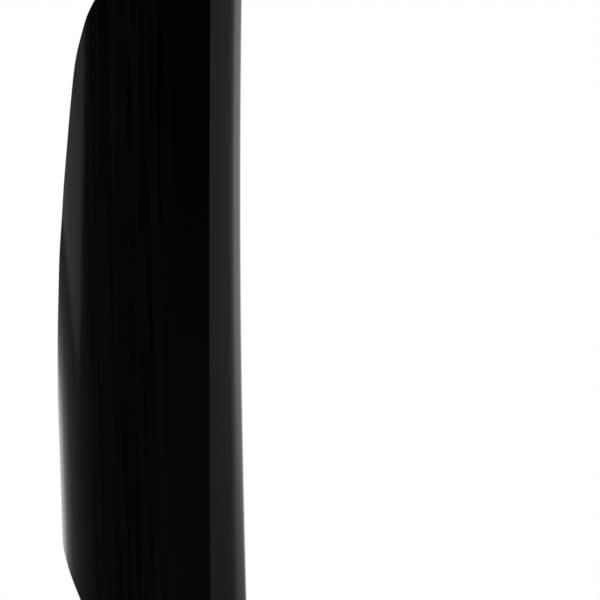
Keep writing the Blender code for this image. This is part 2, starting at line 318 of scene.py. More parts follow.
def bend_tree(chord):
    """Length and turn of the arc between two places of the section, from how far out each is."""
    inputs = ["From Out", "To Out", "From Heading", "To Heading"]
    node, given, end = new_tree("Bend Between", inputs, ["Length", "Turn"])
    turned = node("SUBTRACT", given["To Heading"], given["From Heading"])
    half = node("MULTIPLY", turned, 0.5)
    cosine = node("COSINE", node("ADD", given["From Heading"], half))
    across = node("SUBTRACT", given["To Out"], given["From Out"])
    outward = node("MULTIPLY", cosine, node(GROUP, half, node_tree=chord))
    return feed(end, {"Length": node("DIVIDE", across, outward), "Turn": turned})


def leg_tree(chord):
    """Walks what is left of the way along one arc of the section."""
    state = [PLACE, "Heading", "Left"]
    node, given, end = new_tree("Section Leg", state + ["Length", "Turn"], state)
    step = node("MINIMUM", given["Left"], given["Length"])
    part = node("DIVIDE", step, node("MAXIMUM", given["Length"], 1e-9))
    turned = node("MULTIPLY", part, given["Turn"])
    half = node("MULTIPLY", turned, 0.5)
    chord_length = node("MULTIPLY", step, node(GROUP, half, node_tree=chord))
    aim = node("ADD", given["Heading"], half)
    direction = node(COMBINE, node("COSINE", aim), node("SINE", aim))
    move = node(VECTOR_MATH, {"Vector": direction, "Scale": chord_length}, operation="SCALE")
    place = node(VECTOR_MATH, given["Place"], move, operation="ADD")
    heading = node("ADD", given["Heading"], turned)
    left = node("SUBTRACT", given["Left"], step)
    return feed(end, {"Place": place, "Heading": heading, "Left": left})


def heading_tree():
    """The barrel's heading and the facet's, at one distance out from the flat strip."""
    pressed_by = ["Out", "Ridge Out", "Valley Out", "Facet Turn", "Facet End Turn"]
    inputs = pressed_by + ["Radius", "Fade", "Flank Turn"]
    node, given, end = new_tree("Flank Heading", inputs, ["Barrel", "Facet"])
    share = node("DIVIDE", given["Out"], given["Radius"])
    barrel = node("ARCSINE", node("MINIMUM", share, node("SINE", given["Flank Turn"])))
    pressed = node(MAP_RANGE, *[given[n] for n in pressed_by], clamp=False)
    facet = node("MULTIPLY_ADD", given["Fade"], node("SUBTRACT", pressed, barrel), barrel)
    return feed(end, {"Barrel": barrel, "Facet": facet})


def square_share(node, height, middle):
    """The square of how far a height lies from a middle height, as a share of it."""
    away = node("SUBTRACT", node("DIVIDE", height, middle), 1.0)
    return node("MULTIPLY", away, away)


def skin_tree(labels):
    """A point of the skin: along the section from the crease, up, and inset into the wall."""
    node, given, end = new_tree("Skin Point", ["Along", "Up", "Inset"] + labels, [PLACE])
    chord = chord_tree()
    bend, leg, flank_heading = bend_tree(chord), leg_tree(chord), heading_tree()
    up, ease = given["Up"], given["Knee Ease"]

    # The barrel's radius, which grows faster above the knee.
    above = node("SUBTRACT", up, given["Knee Height"])
    eased = node("MAXIMUM", above, node("MULTIPLY", ease, -1.0))
    rise = node("ADD", node("MINIMUM", eased, ease), ease)
    soft = node("DIVIDE", node("MULTIPLY", rise, rise), ease)
    beyond = node("MAXIMUM", node("SUBTRACT", above, ease), 0.0)
    flared = node("MULTIPLY_ADD", soft, 0.25, beyond)
    faster = node("SUBTRACT", given["Flare Above Knee"], given["Flare Below Knee"])
    steady = node("MULTIPLY_ADD", above, given["Flare Below Knee"], given["Flank Radius"])
    radius = node("MULTIPLY_ADD", flared, faster, steady)
    fade_over = given["Facet Fades To"], given["Facet Fades From"]
    fade = node(MAP_RANGE, up, *fade_over, interpolation_type="SMOOTHSTEP")

    # Where the flank bends: the soft ridge, the valley that leans, and the end of the barrel.
    half_ridge = node("MULTIPLY", given["Ridge Width"], 0.5)
    below = node("SUBTRACT", given["Facet Height"], up)
    ridge = node("MULTIPLY_ADD", below, given["Ridge Lean"], given["Ridge Out"])
    ridge_from = node("SUBTRACT", ridge, half_ridge)
    ridge_to = node("ADD", ridge, half_ridge)
    leaned = node("SUBTRACT", given["Valley Out"], node("MULTIPLY", below, given["Valley Lean"]))
    valley = node("MULTIPLY_ADD", given["Valley Width"], -0.5, leaned)
    valley_from = node("MAXIMUM", valley, ridge_to)
    valley_to = node("ADD", valley_from, given["Valley Width"])
    barrel_end = node("MULTIPLY", radius, node("SINE", given["Flank Turn"]))
    last_out = node("MAXIMUM", barrel_end, valley_to)
    shared = {n: given[n] for n in ("Flank Turn", "Facet Turn", "Facet End Turn", "Ridge Out", "Valley Out")}
    outs = [0.0, ridge_from, ridge_to, valley_from, valley_to, last_out]
    headings = [0.0]
    for out, kind in zip(outs[1:5], ("Barrel", "Facet", "Facet", "Barrel")):
        values = {"Out": out, "Radius": radius, "Fade": fade, **shared}
        headings.append(node(GROUP, values, node_tree=flank_heading).outputs[kind])
    headings.append(given["Flank Turn"])
    off_middle = square_share(node, up, node("MULTIPLY", given["Top Height"], 0.5))
    sweep = node("MULTIPLY", off_middle, given["Crease Sweep"])
    flank = [(node("ADD", given["Front Width"], sweep), 0.0)]
    for i in range(5):
        arc = node(GROUP, outs[i], outs[i + 1], headings[i], headings[i + 1], node_tree=bend)
        flank.append((arc.outputs["Length"], arc.outputs["Turn"]))

    # The lip's facets, and the corner that turns what is left into the inner wall.
    eased_turn = node("MULTIPLY", square_share(node, up, given["Crease Height"]), -1.0)
    crease = node("MULTIPLY_ADD", eased_turn, given["Crease Ease"], given["Crease Turn"])
    turned, lip = crease, []
    for facet in ("Lip", "Knuckle", "Cheek"):
        lip.append((given[facet + " Length"], given[facet + " Turn"]))
        turned = node("ADD", turned, lip[-1][1])
    lip.append((given["Corner Length"], node("SUBTRACT", given["Inner Wall Turn"], turned)))

    # Walk both sides; each ends in a straight wall, a metre long before it is trimmed.
    distance = node("ABSOLUTE", given["Along"])
    walked = []
    for legs, heading in ((flank, 0.0), (lip, crease)):
        place, left = (0.0, 0.0, 0.0), distance
        for arc_length, arc_turn in legs + [(1.0, 0.0)]:
            step = node(GROUP, place, heading, left, arc_length, arc_turn, node_tree=leg)
            place, heading, left = (step.outputs[n] for n in ("Place", "Heading", "Left"))
        walked.append((place, heading))
    outside = node("LESS_THAN", given["Along"], 0.0)
    (out_place, out_heading), (in_place, in_heading) = walked
    place = node(MIX, {0: outside, 4: in_place, 5: out_place}, data_type="VECTOR")
    apart = node(SEPARATE, place.outputs[1])
    heading = node("MULTIPLY_ADD", outside, node("SUBTRACT", out_heading, in_heading), in_heading)
    shrink = node("MULTIPLY", given["Inset"], node("SINE", heading))
    reach = node("SUBTRACT", apart.outputs["X"], shrink)
    depth = node("MULTIPLY_ADD", given["Inset"], node("COSINE", heading), apart.outputs["Y"])

    # Mirror the flank to its own side, and bow the front.
    side = node("MULTIPLY_ADD", outside, -2.0, 1.0)
    crease_x = node("MULTIPLY_ADD", given["Front Width"], 0.5, sweep)
    x = node("MULTIPLY_ADD", side, reach, crease_x)
    bowed = node("MULTIPLY_ADD", node("SUBTRACT", off_middle, 1.0), given["Front Bow"], depth)
    y = node("SUBTRACT", bowed, node("ADD", given["Stand Off"], given["Wall"]))
    return feed(end, {"Place": node(COMBINE, x, y, up)})


def end_in_material(node, end, shape, material):
    """Ends a piece's tree in Realize Instances and Set Material."""
    solid = node("GeometryNodeRealizeInstances", shape)
    return feed(end, {"Geometry": node("GeometryNodeSetMaterial", {0: solid, "Material": material})})


def shell_tree(skin, labels):
    """Bends the laid-flat blank into the shell."""
    node, given, end = new_tree("Bent Shell", [PIECE, MATERIAL] + labels, [PIECE])
    flat = node(SEPARATE, node("GeometryNodeInputPosition"))
    shared = [given[n] for n in labels]
    point = node(GROUP, flat.outputs["X"], flat.outputs["Z"], 0.0, *shared, node_tree=skin)
    bent = node("GeometryNodeSetPosition", {"Geometry": given["Geometry"], "Position": point})
    return end_in_material(node, end, bent, given["Material"])


RIB_LABELS = ["Rib", "Rib Set Back", "Rib Fillet", "Rib Edge"]
RIB_ROWS, RIB_COLUMNS = 9, 34


def rib_section_tree():
    """One point of a rib's section: how far it stands off the wall, and half its thickness there."""
    inputs = ["Share", "Height", "Wall"] + RIB_LABELS
    node, given, end = new_tree("Rib Section", inputs, ["Off Wall", "Half Thickness"])
    chamfer, fillet = given["Rib Edge"], given["Rib Fillet"]
    rooted = node("MULTIPLY", given["Wall"], 0.5)
    top = node("MAXIMUM", given["Height"], node("MULTIPLY", rooted, -0.5))
    edge_share = (RIB_ROWS - 2) / (RIB_ROWS - 1)
    grown = node("DIVIDE", given["Share"], edge_share)
    raised = node("MULTIPLY", node("ADD", top, rooted), node("MULTIPLY", grown, grown))
    height = node("SUBTRACT", raised, rooted)
    capped = node("MINIMUM", height, node("SUBTRACT", top, chamfer))
    last = node("GREATER_THAN", given["Share"], (edge_share + 1) / 2)
    off_wall = node("MULTIPLY_ADD", last, chamfer, capped)
    # The root flares out over the fillet's height.
    in_fillet = node("SUBTRACT", fillet, node("MAXIMUM", off_wall, 0.0))
    in_fillet = node("MAXIMUM", in_fillet, 0.0)
    flare = node("DIVIDE", node("MULTIPLY", in_fillet, in_fillet), node("MULTIPLY", fillet, 2.0))
    half = node("MULTIPLY_ADD", given["Rib"], 0.5, flare)
    half = node("SUBTRACT", half, node("MULTIPLY", last, chamfer))
    return feed(end, {"Off Wall": off_wall, "Half Thickness": half})


def rib_tree(name, skin, labels, rib_section, upright):
    """Two ribs on the wall behind the foot: cross ribs at the bolts, or upright ribs beside the pad."""
    sizes = labels + RIB_LABELS + ["Pitch", "From", "To", "Slope From"]
    node, given, end = new_tree(name, [PIECE, MATERIAL] + sizes, [PIECE])
    wall, pitch, vector = given["Wall"], given["Pitch"], {"data_type": "FLOAT_VECTOR"}
    # A divided cube is one rib: X runs along it, Y off the wall and Z across its thickness.
    cube = node("GeometryNodeMeshCube", (1, 1, 1), RIB_COLUMNS, RIB_ROWS, 2)
    position = node("GeometryNodeInputPosition")
    marks = {"Geometry": cube, "Name": "rib_place", "Value": position}
    marked = node("GeometryNodeStoreNamedAttribute", marks, **vector)
    start = node(COMBINE, 0.0, 0.0, node("MULTIPLY", pitch, -0.5))
    offset = node(COMBINE, 0.0, 0.0, pitch)
    line = node("GeometryNodeMeshLine", {"Count": 2, "Start Location": start, "Offset": offset})
    pair = node("GeometryNodeInstanceOnPoints", {"Points": line, "Instance": marked})
    pair = node("GeometryNodeRealizeInstances", pair)
    local = node("GeometryNodeInputNamedAttribute", "rib_place", **vector)
    own = node(SEPARATE, local)
    beyond = node(VECTOR_MATH, position, local, operation="SUBTRACT")
    centre = node(SEPARATE, beyond).outputs["Z"]
    run = node(MAP_RANGE, own.outputs["X"], -0.5, 0.5, given["From"], given["To"])
    if upright:
        along, up = node("SUBTRACT", centre, node("MULTIPLY", given["Front Width"], 0.5)), run
    else:
        # The rib skips the crease, where the wall's inner face folds back over itself.
        distance = node("MAXIMUM", node("ABSOLUTE", run), node("MULTIPLY", wall, 0.5))
        along, up = node("MULTIPLY", node("SIGN", run), distance), centre
    root = node(SEPARATE, node(GROUP, along, up, wall, *[given[n] for n in labels], node_tree=skin))
    free = node("MULTIPLY", node("ADD", root.outputs["Y"], given["Rib Set Back"]), -1.0)
    if upright:
        free = node(MAP_RANGE, up, given["Slope From"], given["To"], free, node("MULTIPLY", wall, -0.5))
    share = node("ADD", own.outputs["Y"], 0.5)
    section = node(GROUP, share, free, wall, *[given[n] for n in RIB_LABELS], node_tree=rib_section)
    y = node("ADD", root.outputs["Y"], section.outputs["Off Wall"])
    across = node("SIGN", own.outputs["Z"])
    side = node("MULTIPLY_ADD", across, section.outputs["Half Thickness"], centre)
    place = node(COMBINE, *((side, y, up) if upright else (root.outputs["X"], y, side)))
    placed = node("GeometryNodeSetPosition", {"Geometry": pair, "Position": place})
    clean = node("GeometryNodeRemoveAttribute", {"Geometry": placed, "Name": "rib_place"})
    return end_in_material(node, end, clean, given["Material"])


def apply_tree(piece, tree, sizes, material):
    """Runs a tree on a piece with these sizes, and keeps the plain mesh."""
    step = piece.modifiers.new(tree.name, "NODES")
    step.node_group = tree
    values = {**dict(sizes), "Material": material}
    for item in tree.interface.items_tree:
        if item.in_out == "INPUT" and item.name in values:
            step[item.identifier] = values[item.name]
    settle(piece)


# The shell's laid-flat outline, as the CAD source has it: shares of a reach and of a height.


def edge(shares, nearest, farthest, bottom, top):
    """Stations of the shell's edge from shares of its reach and of a height."""
    return [(nearest + a * (farthest - nearest), bottom + b * (top - bottom)) for a, b in shares]


FOOT_SIDE = [
    (-0.22, 0.09), (-0.08, 0.20), (-0.01, 0.32), (0.10, 0.46), (0.28, 0.613), (0.455, 0.732), (0.607, 0.824),
    (0.73, 0.894), (0.855, 0.941),
]
WING_SIDE = [
    (0.975, 0.0), (0.995, 0.03), (0.995, 0.12), (0.975, 0.2), (0.909, 0.283), (0.864, 0.396), (0.847, 0.478),
    (0.818, 0.562), (0.7616, 0.645), (0.7028, 0.728), (0.6441, 0.795), (0.5583, 0.845), (0.4535, 0.895),
    (0.377, 0.926), (0.275, 0.956),
]
WING_TOP = [(0.14, 0.98), (-0.056, 0.9956)]
FOOT_BOTTOM = [(0.70, 0.033), (0.51, 0.0)]
LIP_FOOT = [(0.47, 0.10), (0.59, 0.21), (0.685, 0.39), (0.785, 0.625), (0.90, 0.86)]
LIP_SIDE = [
    (0.98, 0.05), (1.0, 0.157), (1.0, 0.503), (0.98, 0.717), (0.908, 0.811), (0.755, 0.893), (0.612, 0.932),
]
LIP_TOP = [(0.2245, 0.992), (0.4286, 0.9686)]
LIP_BOTTOM = [(0.184, 0.007), (0.337, 0.0376)]
CURVE_STEPS = 24  # between two stations
# The mesh's spacing, of a row's height: along the rim, and across the flat strip.
RIM_STEP, FLAT_STEP = 0.8, 1.2
# Of a cell's width: how far from a row the rim is looked for, and how far the cells stay off it.
RIM_NEAR, RIM_CLEAR = 0.7, 0.6


def smooth_path(stations, start, end):
    """Close points of a smooth curve through the stations, with its directions at both ends."""
    knots = [Vector(p) for p in stations]
    last = len(knots) - 1
    tangents = [(knots[min(i + 1, last)] - knots[max(i - 1, 0)]).normalized() for i in range(last + 1)]
    tangents[0], tangents[-1] = Vector(start).normalized(), Vector(end).normalized()
    path = []
    for i in range(last):
        reach = (knots[i + 1] - knots[i]).length / 3
        handles = (knots[i] + tangents[i] * reach, knots[i + 1] - tangents[i + 1] * reach)
        path += interpolate_bezier(knots[i], handles[0], handles[1], knots[i + 1], CURVE_STEPS)[:-1]
    return path + [knots[-1]]


def side_points(path, spacing):
    """Even points along one side of the outline, without its last point."""
    steps = [(b - a).length for a, b in zip(path, path[1:])]
    count = max(round(sum(steps) / spacing), 1)
    passed, i, points = 0.0, 0, []
    for target in (sum(steps) * k / count for k in range(count)):
        while i < len(steps) - 1 and passed + steps[i] < target:
            passed += steps[i]
            i += 1
        points.append(path[i].lerp(path[i + 1], min((target - passed) / steps[i], 1.0)))
    return points


def outline_points(sizes, section, spacing):
    """The laid-flat outline as (along, up), clockwise from the foot of the flank."""
    front, drop, wing, top = section.front_width, -sizes.foot_drop, sizes.wing_from, sizes.top_height
    foot_out, wing_out, lip = -front - sizes.foot_reach, -front - sizes.wing_reach, sizes.lip_reach
    outer = edge(FOOT_SIDE, foot_out, wing_out, drop, wing) + edge(WING_SIDE, -front, wing_out, wing, top)
    top_outer = [outer[-1]] + edge(WING_TOP, -front, wing_out, wing, top) + [(0.0, top)]
    bottom_outer = [outer[0]] + edge(FOOT_BOTTOM, 0.0, foot_out, drop, wing) + [(0.0, drop)]
    inner = edge(LIP_FOOT, 0.0, lip, drop, wing) + edge(LIP_SIDE, 0.0, lip, wing, top)
    top_inner = [(0.0, top)] + edge(LIP_TOP, 0.0, lip, wing, top) + [inner[-1]]
    bottom_inner = [(0.0, drop)] + edge(LIP_BOTTOM, 0.0, lip, drop, wing) + [inner[0]]
    at_foot, at_top = Vector(outer[1]) - Vector(bottom_outer[1]), Vector(outer[-2]) - Vector(top_outer[1])
    in_foot, in_top = Vector(inner[1]) - Vector(bottom_inner[-2]), Vector(inner[-2]) - Vector(top_inner[-2])
    sides = (
        smooth_path(outer, at_foot, -at_top),
        smooth_path(top_outer, -at_top, (1, 0)),
        smooth_path(top_inner, (1, 0), in_top),
        smooth_path(inner, in_foot, -in_top)[::-1],
        smooth_path(bottom_inner, (1, 0), in_foot)[::-1],
        smooth_path(bottom_outer, -at_foot, (1, 0))[::-1],
    )
    return [p for side in sides for p in side_points(side, spacing)]


def inset_ring(loop, width):
    """The loop set inwards. A point on the crease stays on it."""
    ring = []
    for i, point in enumerate(loop):
        ahead = (loop[(i + 1) % len(loop)] - loop[i - 1]).normalized()
        moved = point + Vector((ahead.y, -ahead.x)) * width
        ring.append(Vector((0.0, moved.y)) if point.x == 0.0 else moved)
    return ring


def span_at(loop, up):
    """Where the loop begins and ends at one height."""
    crossings = [
        a.x + (b.x - a.x) * (up - a.y) / (b.y - a.y)
        for a, b in zip(loop, loop[1:] + loop[:1])
        if (a.y < up) != (b.y < up)
    ]
    return min(crossings, default=0.0), max(crossings, default=0.0)


def blank(sizes, section, cell, row_height, rim_band, beside_crease):
    """The laid-flat shell: a fine upright grid, a band along its rim and one column on the crease."""
    outline = outline_points(sizes, section, row_height * RIM_STEP)
    ring = inset_ring(outline, rim_band)
    strip = section.front_width - beside_crease
    flat_columns = max(round(strip / (row_height * FLAT_STEP)), 1)
    flat = [beside_crease + strip * i / flat_columns for i in range(flat_columns)]
    flank = [section.front_width + cell * i for i in range(math.ceil(sizes.wing_reach / cell))]
    lip = [beside_crease + cell * i for i in range(math.ceil(sizes.lip_reach / cell))]
    columns = [-a for a in flat + flank] + lip
    points, links = outline + ring, []
    for first, last in ((0, len(outline)), (len(outline), len(points))):
        links += [(i, i + 1) for i in range(first, last - 1)] + [(last - 1, first)]
    on_crease = [i for i, p in enumerate(points) if p.x == 0.0]
    foot, head = [[i for i in on_crease if (points[i].y > 0) == above] for above in (False, True)]
    crease = foot[:2]
    low, high = points[foot[1]].y, points[head[1]].y
    rows = round((high - low) / row_height)
    near, clear = cell * RIM_NEAR, cell * RIM_CLEAR
    for j in range(1, rows):
        up = low + (high - low) * j / rows
        crease.append(len(points))
        points.append(Vector((0.0, up)))
        spans = [span_at(ring, up + shift) for shift in (-near, 0.0, near)]
        begin, stop = max(a for a, b in spans) + clear, min(b for a, b in spans) - clear
        points += [Vector((along, up)) for along in columns if begin < along < stop]
    crease += head[1::-1]
    links += zip(crease, crease[1:])
    inside_only = 1
    found, _, faces, *_ = delaunay_2d_cdt(points, links, [], inside_only, SAME_PLACE)
    bm = bmesh.new()
    verts = [bm.verts.new((p.x, 0.0, p.y)) for p in found]
    for face in faces:
        bm.faces.new([verts[i] for i in face])
    bmesh.ops.join_triangles(bm, faces=bm.faces, angle_face_threshold=0.1, angle_shape_threshold=0.6)
    for face in bm.faces:
        if face.normal.y > 0:
            face.normal_flip()
    return bm


# Materials


NOISE_SPAN = (0.3, 0.7)  # between these lie nearly all values of a noise
FLOW_DULLS = (0.4, 0.62)  # the noise values between which a flow line grows dull
FLOW_STARTS = (-0.004, -0.016)  # across the front, where the flow lines fade in
HAZE_PER_METRE, PATCHES_PER_METRE = 28.0, 35.0


def new_material(name):
    """A material, the function that adds its nodes, and its first nodes."""
    material = bpy.data.materials.new(name)
    material.use_nodes = True
    return material, partial(add, material.node_tree), material.node_tree.nodes


def polished_polypropylene(finish):
    """Black polypropylene from the mould's mirror polished cavity.

    The eye sees almost no colour, only a clear reflection, gently bent by orange peel and by faint lines
    where the melt flowed up the tall shell. Light wiping haze varies its gloss.
    """
    material, node, nodes = new_material("polypropylene_black_polished")
    place = node("ShaderNodeTexCoord").outputs["Object"]
    # Flow lines run up the shell; the melt fans out from the foot, so they lean a little.
    lean = node("ShaderNodeMapping", {"Vector": place, "Rotation": (0.0, math.radians(1.6), 0.0)})
    scale = (1 / finish.flow_width, 1 / finish.flow_width, 1 / finish.flow_length)
    stretch = node("ShaderNodeMapping", {"Vector": lean, "Scale": scale})
    flow = node(NOISE, {"Vector": stretch, "Scale": 1.0, "Detail": 3.0, "Roughness": 0.6})
    # They show where the melt turned round the flank, and not on the flat strip.
    on_flank = node(MAP_RANGE, node(SEPARATE, place), *FLOW_STARTS)
    dulled = node("MULTIPLY", node(MAP_RANGE, flow, *FLOW_DULLS), on_flank)
    tint = {0: dulled, 6: linear(finish.black), 7: linear(finish.flow_grey)}
    tinted = node(MIX, tint, data_type="RGBA")
    peel = node(NOISE, {"Vector": place, "Scale": 1 / finish.peel, "Detail": 1.0})
    haze = node(NOISE, {"Vector": place, "Scale": HAZE_PER_METRE, "Detail": 4.0, "Roughness": 0.6})
    cloud = node(MAP_RANGE, haze, *NOISE_SPAN, finish.gloss * 0.85, finish.gloss * 1.2)
    bump = node("ShaderNodeBump", {"Strength": 0.8, "Distance": 10 * MICROMETRE, "Height": flow})
    peel = {"Strength": 0.5, "Distance": 12 * MICROMETRE, "Height": peel, "Normal": bump}
    look = {"Base Color": tinted.outputs[2], "Roughness": cloud, "Normal": node("ShaderNodeBump", peel)}
    feed(nodes["Principled BSDF"], {**look, "IOR": finish.index})
    return material


def satin_polypropylene(finish):
    """The same plastic from the mould's spark eroded core: a fine even grain that blurs reflections."""
    material, node, nodes = new_material("polypropylene_black_satin")
    place = node("ShaderNodeTexCoord").outputs["Object"]
    grain = node(NOISE, {"Vector": place, "Scale": 1 / finish.grain, "Detail": 2.0})
    patchy = node(NOISE, {"Vector": place, "Scale": PATCHES_PER_METRE, "Detail": 3.0})
    cloud = node(MAP_RANGE, patchy, *NOISE_SPAN, finish.satin * 0.9, finish.satin * 1.12)
    bump = node("ShaderNodeBump", {"Strength": 0.35, "Distance": 40 * MICROMETRE, "Height": grain})
    look = {"Base Color": linear(finish.black), "Roughness": cloud, "Normal": bump, "IOR": finish.index}
    feed(nodes["Principled BSDF"], look)
    return material


# Operators


class GUARD_OT_shell(bpy.types.Operator):
    """Bends the laid-flat blank into the shell and gives it its wall and rounded rims"""

    bl_idname = "fork_guard.shell"
    bl_label = "Shell"

    cell: length("Cell", "Width of the mesh's cells across the bends", 0.00085)
    row_height: length("Row Height", "Height of the mesh's rows", 0.0021)
    rim_band: length("Rim Band", "Width of the band of faces along the rim", 0.0013)
    beside_crease: length("Beside Crease", "Width of the cells beside the crease, past its fold", 0.0018)

    def execute(self, context):
        scene = context.scene
        sizes, section = scene.shell_sizes, scene.section_sizes
        labels = skin_labels(section)
        bm = blank(sizes, section, self.cell, self.row_height, self.rim_band, self.beside_crease)
        guard = new_object("guard_moulding", bm)
        polished, satin = polished_polypropylene(scene.guard_finish), satin_polypropylene(scene.guard_finish)
        skin = skin_tree(labels)
        apply_tree(guard, shell_tree(skin, labels), sizes_of(sizes, section), polished)
        guard.data.materials.append(satin)
        wall = guard.modifiers.new("wall", "SOLIDIFY")
        wall.thickness, wall.offset, wall.use_even_offset = sizes.wall, -1, True
        wall.material_offset = 1
        rounds = ("rims", sizes.rim_round, 60, 4), ("crease", sizes.crease_round, 30, 2)
        for name, width, angle, segments in rounds:
            rounding = guard.modifiers.new(name, "BEVEL")
            rounding.width, rounding.segments, rounding.use_clamp_overlap = width, segments, False
            rounding.limit_method, rounding.angle_limit = "ANGLE", math.radians(angle)
        settle(guard)
        return {"FINISHED"}


class GUARD_OT_ribs(bpy.types.Operator):
    """Adds the two cross ribs and the two upright ribs behind the foot"""

    bl_idname = "fork_guard.ribs"
    bl_label = "Ribs"

    def execute(self, context):
        guard, sizes, section, foot = begun(context.scene)
        labels = skin_labels(section)
        skin, rib_section = bpy.data.node_groups["Skin Point"], rib_section_tree()
        shared = sizes_of(sizes, section, foot)
        layouts = (
            ("cross_ribs", False, foot.bolt_pitch, -section.front_width - foot.reach_out, foot.reach_in),
            ("upright_ribs", True, foot.pad_width - foot.rib, foot.pad_above / 2, foot.tall_rib_top),
        )
        for name, upright, pitch, start, stop in layouts:
            ribs = new_object(name, bmesh.new())
            own = [("Pitch", pitch), ("From", start), ("To", stop), ("Slope From", foot.pad_above)]
            tree = rib_tree(name, skin, labels, rib_section, upright)
            apply_tree(ribs, tree, shared + own, guard.data.materials[1])
            bm = bmesh.new()
            bm.from_mesh(ribs.data)
            bmesh.ops.remove_doubles(bm, verts=bm.verts, dist=SAME_PLACE)
            bmesh.ops.recalc_face_normals(bm, faces=bm.faces)
            bm.to_mesh(ribs.data)
            bm.free()
            join(guard, ribs, "UNION")
        return {"FINISHED"}


def rounded_rectangle(half_width, low, high, corner, steps=6):
    """Points (x, z) round a rectangle with rounded corners."""
    right, top, bottom = half_width - corner, high - corner, low + corner
    points = []
    for quarter, (x, z) in enumerate(((right, top), (-right, top), (-right, bottom), (right, bottom))):
        turns = [math.pi / 2 * (quarter + i / steps) for i in range(steps + 1)]
        points += [(x + corner * math.cos(a), z + corner * math.sin(a)) for a in turns]
    return points


def loft(name, loops):
    """A closed solid through loops of equally many points, capped at both ends."""
    bm = bmesh.new()
    rings = [[bm.verts.new(p) for p in loop] for loop in loops]
    count = len(rings[0])
    for low, high in zip(rings, rings[1:]):
        for i in range(count):
            bm.faces.new((low[i], low[(i + 1) % count], high[(i + 1) % count], high[i]))
    bm.faces.new(rings[0][::-1])
    bm.faces.new(rings[-1])
    bmesh.ops.recalc_face_normals(bm, faces=bm.faces)
    return new_object(name, bm)


class GUARD_OT_pad(bpy.types.Operator):
    """Adds the mounting pad behind the foot"""

    bl_idname = "fork_guard.pad"
    bl_label = "Pad"

    def execute(self, context):
        guard, sizes, section, foot = begun(context.scene)
        middle = sizes.top_height / 2

        def inner_wall(z):
            return -section.stand_off - section.front_bow * (1 - ((z - middle) / middle) ** 2)

        def outline(grow):
            low, high = -foot.pad_below - grow, foot.pad_above + grow
            return rounded_rectangle(foot.pad_width / 2 + grow, low, high, foot.pad_corner + grow)

        # The pad's root flares into the wall, and its free edge is slightly rounded.
        flare, edge_round = foot.rib_fillet, foot.rib_edge * 2
        loops = []
        for off_wall in (-sizes.wall / 2, 0.0, 0.25 * flare, 0.55 * flare, flare):
            grow = (flare - max(off_wall, 0.0)) ** 2 / (2 * flare)
            loops.append([(x, inner_wall(z) + off_wall, z) for x, z in outline(grow)])
        for turned in (quarter * math.pi / 2 for quarter in (0.0, 0.35, 0.7, 1.0)):
            depth = -edge_round * (1 - math.sin(turned))
            loops.append([(x, depth, z) for x, z in outline(-edge_round * (1 - math.cos(turned)))])
        block = loft("pad", loops)
        block.data.materials.append(guard.data.materials[1])
        join(guard, block, "UNION")
        return {"FINISHED"}


HOLE_SIDES = 64
CUT_PAST = 0.002  # how far a cutter reaches past the moulding
SEAT_DRAFT = 0.0004  # how much wider a seat is at its mouth


class GUARD_OT_bolt_holes(bpy.types.Operator):
    """Cuts the two bolt holes with the seats for the bolts' heads"""

    bl_idname = "fork_guard.bolt_holes"
    bl_label = "Bolt Holes"

    def execute(self, context):
        guard, sizes, section, foot = begun(context.scene)
        # Each cutter is turned about the bolt's axis: seat, small inside corner, lead-in, hole, lead-in.
        hole, seat, lead = foot.bolt_hole / 2, foot.bolt_seat / 2, foot.lead_in
        floor = -section.stand_off - sizes.wall + foot.seat_depth
        front = -section.stand_off - sizes.wall - section.front_bow - CUT_PAST
        profile = [
            (seat + SEAT_DRAFT, front), (seat, floor - lead), (seat - 0.3 * lead, floor - 0.3 * lead),
            (seat - lead, floor), (hole + lead, floor), (hole, floor + lead),
            (hole, -lead), (hole + lead, 0.0), (hole + lead + CUT_PAST, CUT_PAST),
        ]
        turns = [math.tau * i / HOLE_SIDES for i in range(HOLE_SIDES)]
        for z in (foot.bolt_pitch / 2, -foot.bolt_pitch / 2):
            loops = [[(r * math.cos(a), y, z + r * math.sin(a)) for a in turns] for r, y in profile]
            cutter = loft("bolt_cut", loops)
            cutter.data.materials.append(guard.data.materials[1])
            join(guard, cutter, "DIFFERENCE")
        return {"FINISHED"}


class GUARD_OT_finish(bpy.types.Operator):
    """Smooths the moulding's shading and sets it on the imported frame"""

    bl_idname = "fork_guard.finish"
    bl_label = "Finish"

    def execute(self, context):
        guard = bpy.data.objects["guard_moulding"]
        bm = bmesh.new()
        bm.from_mesh(guard.data)
        bmesh.ops.remove_doubles(bm, verts=bm.verts, dist=2 * MICROMETRE)
        bmesh.ops.dissolve_degenerate(bm, dist=MICROMETRE, edges=bm.edges)
        open_edges = [e for e in bm.edges if len(e.link_faces) != 2]
        bm.to_mesh(guard.data)
        bm.free()
        if open_edges:
            raise RuntimeError(f"the moulding isn't closed: {len(open_edges)} open edges")
        guard.data.shade_smooth()
        guard.data.set_sharp_from_angle(angle=math.radians(35))
        weighted = guard.modifiers.new("weighted", "WEIGHTED_NORMAL")
        weighted.keep_sharp = True
        settle(guard)
        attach(guard, BODY)
        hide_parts(NODE)
        return {"FINISHED"}


FLOOR_SIDES = 96
FLOOR_FADES = (0.35, 0.9)  # from this distance in metres, to this share of the floor's radius
# What the gloss reflects. Ranges are from, to, and the level at either of them.
CLOTH_BY_HEIGHT = (0.08, -0.07, 0.1, 1.35)  # round the camera it is darkest just above it
CLOTH_ASIDE = (math.radians(12), math.radians(45))
SOFT_BOX = (0.55, 0.8, 0.0, 0.9)
FLOOR_HEIGHTS = (-0.2, -0.34, 0.0)
FLOOR_PALENESS = (math.radians(48), math.radians(85), 0.13, 0.95)  # falls off towards the camera
EVEN_LIGHT = (-1.0, 1.0, 0.85, 1.15)  # what colours see: a little stronger from above
